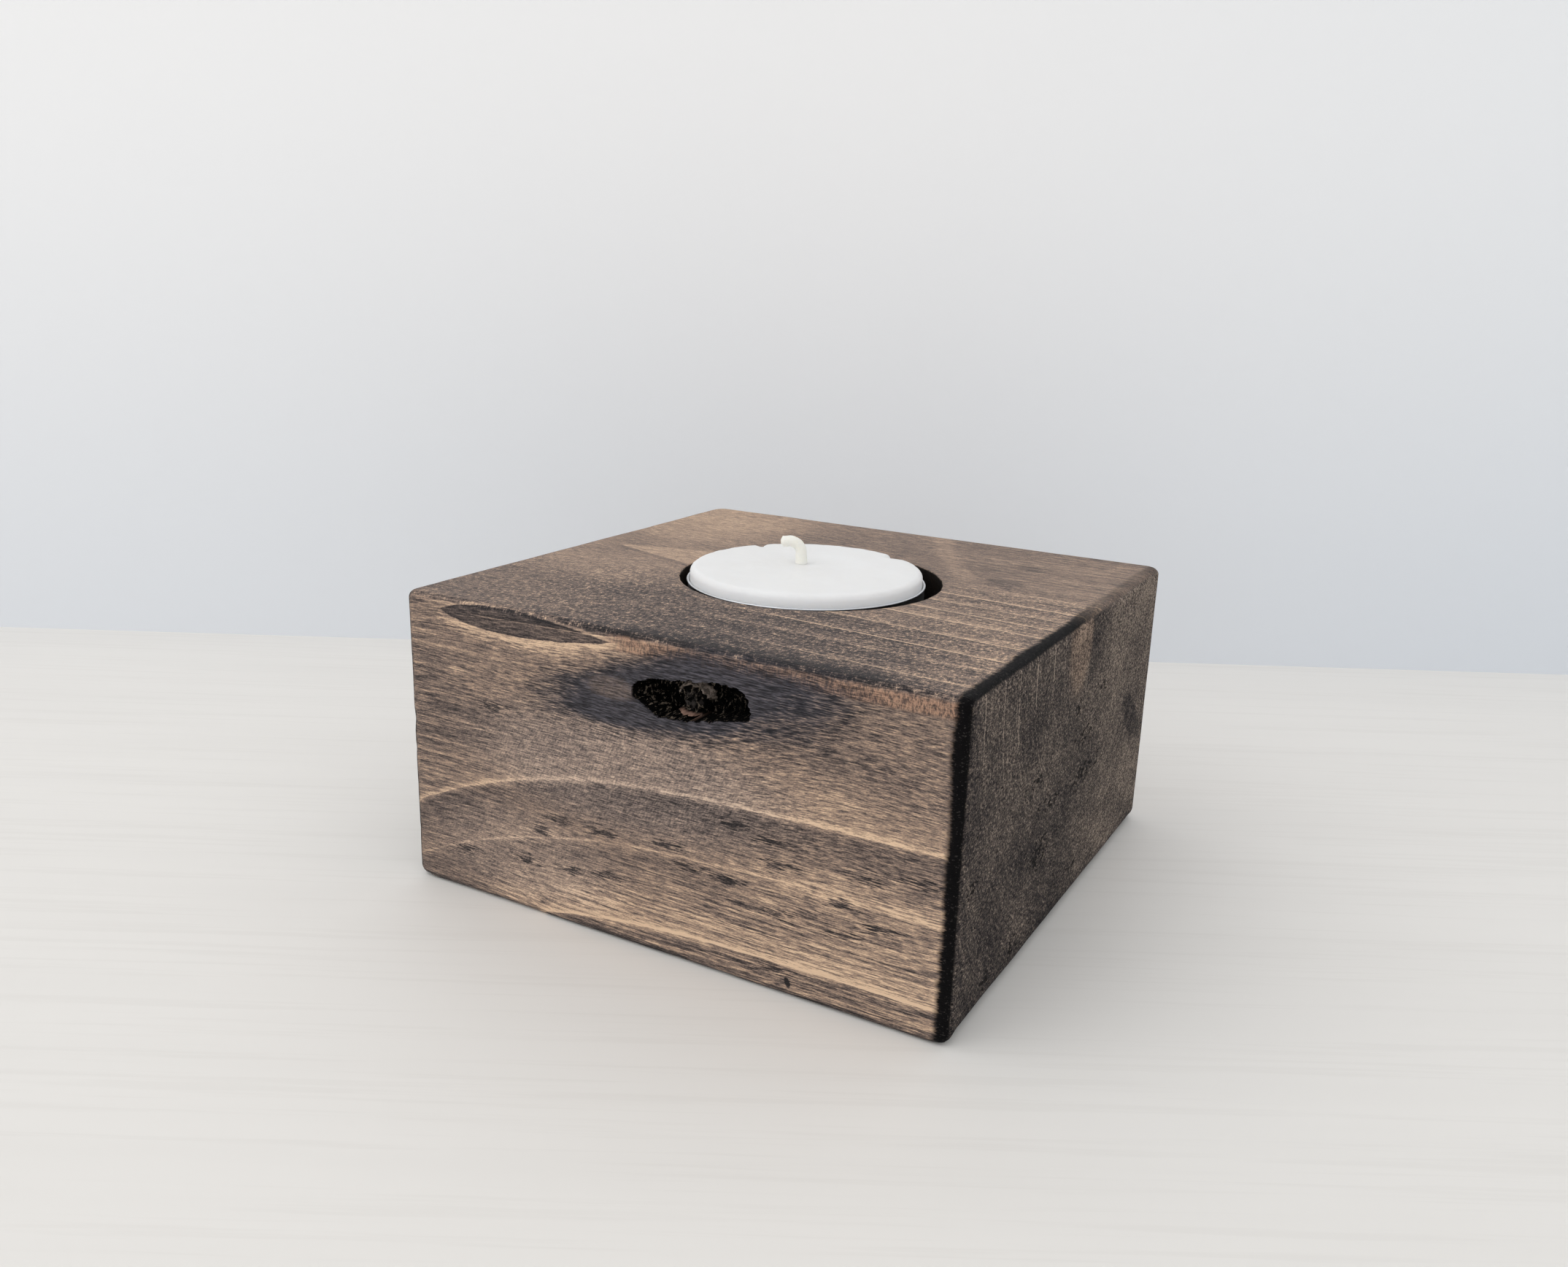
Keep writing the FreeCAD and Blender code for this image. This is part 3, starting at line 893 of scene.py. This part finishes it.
def add_wedge(g, tone, top):
    """A pale wedge that widens along the top toward the pocket, with a dark line before it."""
    run = g.take(g.x, WEDGE_X)
    wedge = g.times(g.rise(g.add(g.y, g.take(g.times(run, WEDGE_FRONT_SLOPE), WEDGE_Y)), 0, 0.5),
                    g.rise(g.take(g.y, g.more(WEDGE_Y, run, WEDGE_BACK_SLOPE)), 0.6, -0.6))
    wedge = g.times(g.times(wedge, g.rise(run, 0, 2.5)), g.times(top, g.rise(g.x, 0, -12)))
    tone = g.more(tone, wedge, 0.16)
    line = g.size(g.add(g.y, g.take(g.times(run, 0.33), 1.2)))
    line = g.times(g.rise(line, 0.9, 0.2), g.rise(run, 0.5, 4))
    return g.less(tone, g.times(line, g.times(top, g.rise(g.x, -10, -18))), 0.10)


def fleck_mask(g, fibre):
    """Dark bundles of fibre in the front face."""
    nearest = 9
    for centre in FLECKS:
        nearest = g.least(nearest, front_oval(g, centre, FLECK_HALF, 0.05))
    return g.rise(g.more(nearest, fibre, 4.14), 0.95, 0.15)


def lens_tone(g, fibre):
    """A long dark lens of early wood at the top left of the front face, with a light line round it
    and light bands along under it."""
    along = g.times(g.take(g.x, LENS_MIDDLE), 1 / LENS_HALF)
    belly = g.math("POWER", g.most(g.take(1, g.times(along, along)), 0), 0.75)
    height = g.more(g.z, g.swing((0.6, 1, 2.2), 3, 0.6, 17), 0.5)
    under = g.take(g.less(LENS_LEVEL, belly, g.less(LENS_BELOW, along, 0.6)), height)
    below_high = g.take(g.more(LENS_LEVEL, belly, g.less(LENS_ABOVE, along, 0.7)), height)
    inside = g.least(g.times(under, -1), below_high)
    lens = g.times(g.rise(inside, 0, 0.12), g.rise(belly, 0, 0.05))
    tone = g.times(lens, g.take(g.times(g.rise(inside, 0.1, 0.5), 0.10), 0.34))
    thinner = g.times(g.rise(g.x, -9, 2), 0.5)
    line = g.times(g.rise(under, -0.05, 0.12), g.rise(g.add(under, thinner), 1, 0.55))
    tone = g.more(tone, g.times(line, g.band(g.x, -39, -32, 6, 24)), 0.34)
    bands = g.times(g.band(under, 0.4, 0.7, 1.2, 2.8), g.band(g.x, -44, -36, -14, -2))
    tone = g.more(tone, bands, g.more(0.16, fibre, 0.6))
    over = g.times(g.band(below_high, -0.5, -0.25, -0.08, 0.02), g.band(g.x, -43, -38, -8, -5))
    return g.more(tone, over, 0.20)


def add_front_marks(g, tone, fibre, front):
    """Flecks and the lens of the front face, the shade at two of its corners, and painted shade along the
    base.
    """
    tone = g.less(tone, g.times(fleck_mask(g, fibre), front), 0.30)
    star = g.rise(front_oval(g, *STAR_FLECK), 1.1, 0.6)
    tone = g.less(tone, g.times(star, front), 0.7)
    tone = g.more(tone, lens_tone(g, fibre), front)
    upper_right = g.times(g.rise(g.x, 12, 26), g.rise(g.z, 27, 36))
    tone = g.less(tone, g.times(upper_right, front), 0.06)
    tone = g.less(tone, g.product(front, g.rise(g.x, -24, -42), g.rise(g.z, 40, 34)), 0.08)
    # Painted shade: darker along the base, where the block meets the floor.
    return g.less(tone, g.rise(g.z, 1.3, 0.4), 0.35)


def add_strip(g, shown, front):
    """A reddish strip of standing fibres along the top of the front face."""
    strip = g.times(g.band(g.z, 42.6, 43.3, 44.7, 45.3), g.rise(g.x, -9, -4))
    stand = g.noise((2.4, 1, 1.2), 3, 0.75, 21)
    red = g.mix(g.rise(stand, 0.38, 0.62), (78, 61, 55), (190, 149, 122))
    return g.mix(g.product(strip, front, 0.74), shown, red)


def add_stain(g, shown, fibre, broad, front):
    """Blue-grey stain that bled out of the knot, longest along the grain."""
    rough = g.add(g.times(fibre, 0.9), g.times(broad, 1.3))
    body = g.rise(g.add(front_oval(g, *STAIN_BODY), rough), 1.20, 0.72)
    left = g.rise(g.add(front_oval(g, *STAIN_LEFT), rough), 1.10, 0.60)
    pale = g.rise(g.add(front_oval(g, *STAIN_PALE), rough), 1.10, 0.60)
    stain = g.less(g.times(g.most(body, left), 0.95), pale, 0.30)
    blue = g.mix(g.rise(fibre, -0.16, 0.28), (5, 8, 17), (88, 87, 97))
    return g.mix(g.times(g.most(stain, 0), front), shown, blue)


# ------------ stained pine: ends and hollows


def pore_mask(g):
    """Groups of open pores in the end grain."""
    near = 9
    for along, up, half_along, half_up in PORE_GROUPS:
        near = g.least(near, end_oval(g, (along, up), (half_along, half_up)))
    pores = g.noise((0.8, 0.80, 1.5), 2, 0.55, 13)
    return g.rise(g.less(pores, g.least(near, 2), 0.11), 0.47, 0.50)


def end_grain(g, ahead, radius, speck, pores):
    """The ends are nearly black, with faint broken rings and a light brown patch over the pith."""
    turn = g.math("ARCTAN2", g.take(g.y, PITH_BACK), g.take(g.z, PITH_UP))
    round_pith = g.join(radius, g.times(turn, 9), g.x)
    arcs = g.swing((2, 0.9, 0.2), 3, 0.65, 11, place=round_pith)
    grit = g.swing((1, 2, 3.2), 2, 0.85, 12)
    cloud = g.swing((0.06, 0.09, 0.12), 3, 0.55, 19)
    tone = g.add(0.50, g.add(g.times(arcs, 0.60), g.add(g.times(grit, 2.00), g.times(cloud, 0.50))))
    broken = g.rise(g.add(g.times(grit, 0.6), cloud), -0.14, 0.04)
    near_top = g.times(g.rise(g.y, -4, -11), g.more(0.12, g.rise(g.z, 28, 38), 0.45))
    tone = g.more(tone, g.rise(ahead, 0.55, 0.25), g.times(broken, near_top))
    tone = g.more(tone, speck, 0.35)
    patch = g.times(blot(g, end_oval(g, *END_PATCH), grit, 0.5), g.rise(g.y, 4.8, 4.2))
    heart = blot(g, end_oval(g, *END_PATCH_HEART), grit, 0.5)
    far = g.most(blot(g, end_oval(g, *END_FAR), grit, 0.6), blot(g, end_oval(g, *END_FAR_SPOT), grit, 0.5))
    tone = g.add(tone, g.add(g.times(g.more(patch, heart, 0.7), 0.20), g.times(far, 0.09)))
    tone = g.more(tone, g.rise(g.y, -4, 20), g.more(0.10, g.rise(g.z, 24, 38), 0.10))
    tone = g.less(tone, g.times(g.rise(g.y, 8, -6), g.rise(g.z, 22, 8)), 0.07)
    beside = g.product(g.rise(g.y, 3.4, 4.4), g.rise(g.y, 22, 8), g.rise(g.z, 34, 38))
    tone = g.less(tone, beside, 0.14)
    tone = g.less(tone, blot(g, end_oval(g, *END_DARK_SPOT), cloud, 1), 0.18)
    tone = g.less(tone, g.rise(g.z, 4, 0.5), 0.14)
    shown = g.ramp(tone, [
        (0, (12, 11, 12)), (0.28, (44, 41, 42)), (0.50, (74, 68, 66)),
        (0.70, (102, 92, 84)), (1, (168, 152, 138))])
    warmer = g.mix(1, shown, (255, 226, 205), blend="MULTIPLY")
    shown = g.mix(g.times(patch, 0.35), shown, warmer)
    return g.mix(g.times(pores, 0.88), shown, (9, 8, 8)), grit


def soaked_edges(g, fibre, broad, top):
    """Where stain that soaked in from the ends has turned the edges of the long faces black."""
    ragged = g.swing((0.3, 1.4, 1.4), 3, 0.65, 15)
    soak = g.add(g.times(fibre, 1.4), g.add(g.times(broad, 1.4), ragged))
    right_end = g.rise(g.add(g.x, soak), RIGHT - 2.5, RIGHT - 1.6)
    paler = g.product(top, g.rise(g.y, -4, 14), g.more(0.55, broad, 0.8))
    right_end = g.times(right_end, g.take(1, g.most(paler, 0)))
    left_end = g.rise(g.take(soak, g.x), RIGHT - 1.1, RIGHT - 0.3)
    return g.most(right_end, left_end)


def knot_stain_and_shade(g):
    """Inside the knot: black, partly dark stain and partly painted shade of the hollow, with torn
    fibres on the left painted pale where they stand up, bare wood and partly painted highlight,
    the ring round the branch stub and a strip of bare wood under it."""
    torn = g.rise(g.noise((2.6, 1.2, 1.1), 3, 0.70, 16), 0.55, 0.62)
    leftward = g.rise(g.x, 13.5, 3)
    # Painted shade and stain: near black in the hollow; the torn fibres are pale, partly a painted
    # highlight on their ridges.
    shown = g.mix(g.times(torn, g.more(0.30, leftward, 0.65)), (4, 4, 4), (132, 120, 106))
    stub = front_oval(g, *STUB_FACE)
    arc = g.times(g.rise(g.size(g.take(stub, 1)), 0.17, 0.08), g.rise(g.z, 37.2, 38))
    core = g.rise(stub, 0.75, 0.45)
    patchy = g.rise(g.noise((1.6, 1.6, 1.6), 3, 0.6, 20), 0.42, 0.58)
    shown = g.mix(g.times(core, g.times(patchy, 0.5)), shown, (88, 82, 78))
    shown = g.mix(g.times(arc, g.more(0.35, patchy, 0.6)), shown, (186, 170, 158))
    ledge = front_oval(g, *LEDGE_FACE)
    return g.mix(g.rise(ledge, 1.2, 0.6), shown, (160, 128, 113)), torn


def stained_pine():
    g = Graph("stained_pine")
    front = g.rise(g.y, FRONT + 1.2, FRONT + 0.6)
    top = g.rise(g.z, BLOCK_TOP - 0.9, BLOCK_TOP - 0.4)
    low_right = g.rise(g.more(g.z, g.take(20, g.x), 0.26), 20, 12)
    on_end = g.rise(g.size(g.x), RIGHT - 0.35, RIGHT - 0.10)
    in_knot = g.band(g.y, FRONT + 0.10, FRONT + 0.35, FRONT + 8, FRONT + 9)
    in_knot = g.times(in_knot, g.rise(front_oval(g, *KNOT_MOUTH), 1, 0.9))
    in_pocket = g.times(g.rise(g.length(g.x, g.y), POCKET_RADIUS + 0.5, POCKET_RADIUS + 0.25),
                        g.rise(g.z, BLOCK_TOP - 0.04, BLOCK_TOP - 0.25))

    flow, height = grain_flow(g)
    ahead, radius = rings_ahead(g, height)
    broad = g.swing((0.04, 0.10, 0.10), 3, 0.55, 6)
    tone, fibre = fibre_tone(g, flow, broad, front, low_right)
    tone, rippled_sheen = add_ripple_sheen(g, tone, front, low_right)
    tone = add_rings(g, tone, ahead, ring_shade(g, radius), front, top, low_right)
    tone = add_stubble(g, tone, top)
    tone = add_top_shades(g, tone, fibre, top)
    tone = add_wedge(g, tone, top)
    tone = add_front_marks(g, tone, fibre, front)

    shown = g.ramp(tone, [
        (0, (30, 26, 27)), (0.25, (76, 66, 63)), (0.5, (131, 113, 102)),
        (0.72, (178, 151, 129)), (1, (230, 198, 166))])
    # Painted sheen: the rippled places are painted greyer, like the grey sheen on their fibres.
    grey = g.node("ShaderNodeRGBToBW", {0: shown}).outputs[0]
    grey = g.join(g.times(grey, 1.06), g.times(grey, 0.97), g.times(grey, 0.98))
    shown = g.mix(g.times(rippled_sheen, 0.25), shown, grey)
    shown = add_strip(g, shown, front)
    shown = add_stain(g, shown, fibre, broad, front)

    speck = g.rise(g.noise((2.4, 4.4, 4.4), 1, 0.5, 22), 0.62, 0.70)
    black_end = soaked_edges(g, fibre, broad, top)
    black = g.mix(g.times(speck, 0.5), (8, 7, 8), (74, 70, 67))
    pores = pore_mask(g)
    end_colour, grit = end_grain(g, ahead, radius, speck, pores)
    stain_and_shade_in_knot, torn = knot_stain_and_shade(g)
    shown = g.mix(black_end, shown, black)
    shown = g.mix(on_end, shown, end_colour)
    # Inside the knot: near black, partly stain and partly painted shade of the hollow.
    shown = g.mix(in_knot, shown, stain_and_shade_in_knot)
    # Inside the pocket: near black, partly stain soaked into the bored wood and partly painted shade of
    # the gap round the cup.
    shown = g.mix(g.times(in_pocket, 0.96), shown, (8, 7, 7))

    # Relief: fibres, grit of the end grain, open pores and torn wood.
    relief = g.add(g.times(fibre, 1.3), g.times(g.times(grit, on_end), 1.6))
    relief = g.less(relief, g.times(pores, on_end), 1.2)
    relief = g.more(relief, g.times(torn, in_knot), 1.5)
    rough = g.more(g.more(0.60, fibre, 0.25), g.most(in_knot, on_end), 0.25)
    shine = g.less(0.25, g.most(black_end, g.most(in_pocket, in_knot)), 0.19)
    return g.finish(Base_Color=shown, Roughness=rough, Normal=g.bump(relief, 0.8, 0.14),
                    Specular_IOR_Level=shine)


# ------------ the tealight's materials


def paraffin():
    g = Graph("candle_wax")
    cloud = g.noise((0.12, 0.12, 0.12), 3, 0.5, 1)
    shown = g.mix(cloud, (230, 229, 227), (239, 239, 238))
    # Painted light: the wax is painted whiter from 0.3 mm under its top downward, so its shoulder and side
    # look as bright as the top.
    shown = g.mix(g.rise(g.z, WAX_HIGH[2] - 0.30, WAX_HIGH[2] - 1.30), shown, (254, 254, 254))
    pores = g.rise(g.noise((1.6, 1.6, 1.6), 2, 0.5, 2), 0.70, 0.76)
    shown = g.mix(g.times(pores, 0.10), shown, (190, 188, 184))
    relief = g.more(g.noise((0.7, 0.7, 0.7), 3, 0.5, 3), pores, -0.3)
    return g.finish(Base_Color=shown, Roughness=0.42, Normal=g.bump(relief, 0.25, 0.08),
                    Subsurface_Weight=0.8, Subsurface_Radius=(1, 0.95, 0.9),
                    Subsurface_Scale=4 * MM, Specular_IOR_Level=0.45)


def drawn_aluminium():
    g = Graph("cup_aluminium")
    drawn = g.noise((3, 3, 0.25), 3, 0.6, 1)
    shown = g.mix(drawn, (196, 199, 202), (226, 228, 230))
    return g.finish(Base_Color=shown, Metallic=1, Roughness=g.more(0.24, drawn, 0.16),
                    Normal=g.bump(drawn, 0.2, 0.04))


def waxed_cotton():
    g = Graph("wick_cotton")
    twist = g.noise((2.2, 2.2, 3.4), 3, 0.6, 1)
    shown = g.mix(twist, (238, 236, 226), (250, 248, 240))
    return g.finish(Base_Color=shown, Roughness=0.55, Normal=g.bump(twist, 0.4, 0.06),
                    Subsurface_Weight=0.3, Subsurface_Radius=(1, 0.9, 0.7),
                    Subsurface_Scale=0.6 * MM)


def tinned_steel():
    g = Graph("tinned_steel")
    spangle = g.noise((0.8, 0.8, 0.8), 4, 0.6, 1)
    shown = g.mix(spangle, (150, 151, 152), (196, 197, 198))
    return g.finish(Base_Color=shown, Metallic=1, Roughness=g.more(0.28, spangle, 0.22),
                    Normal=g.bump(spangle, 0.2, 0.05))


wear(block, stained_pine())
wear(wax, paraffin())
wear(cup, drawn_aluminium())
wear(wick, waxed_cotton())
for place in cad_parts["wick_sustainer"].material_slots:
    place.material = tinned_steel()

for piece, node, body, slot in (
        (block, "wood_block", "holder", "stained_pine"),
        (cup, "tealight_cup", "cup", "cup_aluminium"),
        (wax, "wax", "candle", "candle_wax"),
        (wick, "wick", "candle", "wick_cotton")):
    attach(piece, body)
    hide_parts(node)

# ------------ stage, light and camera

CAMERA_AT = Vector((0.0940, -0.1757, 0.0928))
CAMERA_AZIMUTH = math.radians(29.3)
CAMERA_ELEVATION = math.radians(15.84)
CAMERA_ROLL = math.radians(1.75)
CAMERA_LENS = 29.7
SENSOR_WIDTH = 36.0
WALL_BEHIND = 0.112
FLOOR_REACH = 4.0
WALL_HEIGHT = 2.5
WINDOW_AT = (-0.6, -0.5, 0.9)
WINDOW_SIZE = 1.2
WINDOW_POWER = 1.6
WINDOW_TINT = (1.0, 0.985, 0.96)
AIM_AT = Vector((0, 0, 0.03))
BRIGHT_SIDE = (-0.62, -0.28, 0.73)
DIM = 0.62
BRIGHT = 1.18


def floor_paint():
    """White painted boards, with faint brush marks that run across the view."""
    g = Graph("floor_paint")
    turned = math.cos(CAMERA_AZIMUTH), math.sin(CAMERA_AZIMUTH)
    along = g.add(g.times(g.x, turned[0]), g.times(g.y, turned[1]))
    across = g.take(g.times(g.y, turned[0]), g.times(g.x, turned[1]))
    lane = g.join(along, across, 0.0)
    boards = g.noise((0.01, 0.10, 1.0), 3.0, 0.55, 1.0, lane)
    marks = g.noise((0.015, 0.60, 1.0), 3.0, 0.65, 2.0, lane)
    shown = g.mix(boards, (231, 228, 223), (238, 235, 230))
    shown = g.mix(g.times(g.rise(marks, 0.50, 0.66), 0.16), shown, (216, 212, 206))
    return g.finish(Base_Color=shown, Roughness=0.55)


def wall_paint_and_light():
    """Painted wall, with painted light: a little lighter higher up and to the left."""
    g = Graph("wall_paint_and_light")
    # Painted light: the wall is lighter higher up and a little darker to the right, as the light falls on
    # it.
    shown = g.mix(g.rise(g.z, -10.0, 150.0), (231, 234, 238), (252, 252, 252))
    darker = g.mix(1.0, shown, (246, 248, 250), blend="MULTIPLY")
    shown = g.mix(g.rise(g.x, -60.0, 140.0), shown, darker)
    return g.finish(Base_Color=shown, Roughness=0.9)


def add_stage():
    """A wide floor, and a wall close behind the object that faces the camera."""
    away = Vector((-math.sin(CAMERA_AZIMUTH), math.cos(CAMERA_AZIMUTH), 0))
    right = Vector((away.y, -away.x, 0)) * FLOOR_REACH
    near = away * -FLOOR_REACH
    far = away * WALL_BEHIND
    corners = [near - right, near + right, far + right, far - right]
    floor = new_mesh_object("floor", [corner / MM for corner in corners], [(0, 1, 2, 3)])
    wear(floor, floor_paint())
    up = Vector((0, 0, WALL_HEIGHT))
    wall_corners = [corners[3], corners[2], corners[2] + up, corners[3] + up]
    wall = new_mesh_object("wall", [corner / MM for corner in wall_corners], [(0, 1, 2, 3)])
    wear(wall, wall_paint_and_light())


def add_window():
    """A soft light from the upper left."""
    light = bpy.data.lights.new("window", "AREA")
    light.shape = "DISK"
    light.size = WINDOW_SIZE
    light.energy = WINDOW_POWER
    light.color = WINDOW_TINT
    item = new_object("window", light)
    item.location = WINDOW_AT
    item.rotation_euler = (AIM_AT - Vector(WINDOW_AT)).to_track_quat("-Z", "Y").to_euler()


def add_world():
    """Soft light from the whole room, brightest from the upper left and dim from the right."""
    world = bpy.data.worlds.new("studio")
    world.use_nodes = True
    tree = world.node_tree
    background = tree.nodes["Background"]
    place = tree.nodes.new("ShaderNodeTexCoord")
    toward = tree.nodes.new("ShaderNodeVectorMath")
    toward.operation = "DOT_PRODUCT"
    toward.inputs[1].default_value = BRIGHT_SIDE
    level = tree.nodes.new("ShaderNodeMapRange")
    level.interpolation_type = "SMOOTHSTEP"
    for key, number in (("From Min", -0.8), ("From Max", 0.9), ("To Min", DIM), ("To Max", BRIGHT)):
        level.inputs[key].default_value = number
    tree.links.new(place.outputs["Generated"], toward.inputs[0])
    tree.links.new(toward.outputs["Value"], level.inputs["Value"])
    tree.links.new(level.outputs[0], background.inputs["Strength"])
    background.inputs["Color"].default_value = colour(249, 250, 252)
    bpy.context.scene.world = world


def add_camera():
    turn = (Matrix.Rotation(CAMERA_AZIMUTH, 3, "Z")
            @ Matrix.Rotation(math.radians(90) - CAMERA_ELEVATION, 3, "X")
            @ Matrix.Rotation(CAMERA_ROLL, 3, "Z"))
    camera = bpy.data.cameras.new("camera")
    camera.lens = CAMERA_LENS
    camera.sensor_width = SENSOR_WIDTH
    camera.clip_start = 0.005
    item = new_object("camera", camera)
    item.matrix_world = Matrix.Translation(CAMERA_AT) @ turn.to_4x4()
    bpy.context.scene.camera = item


add_stage()
add_world()
add_window()
add_camera()
bpy.context.scene.view_settings.view_transform = "Standard"
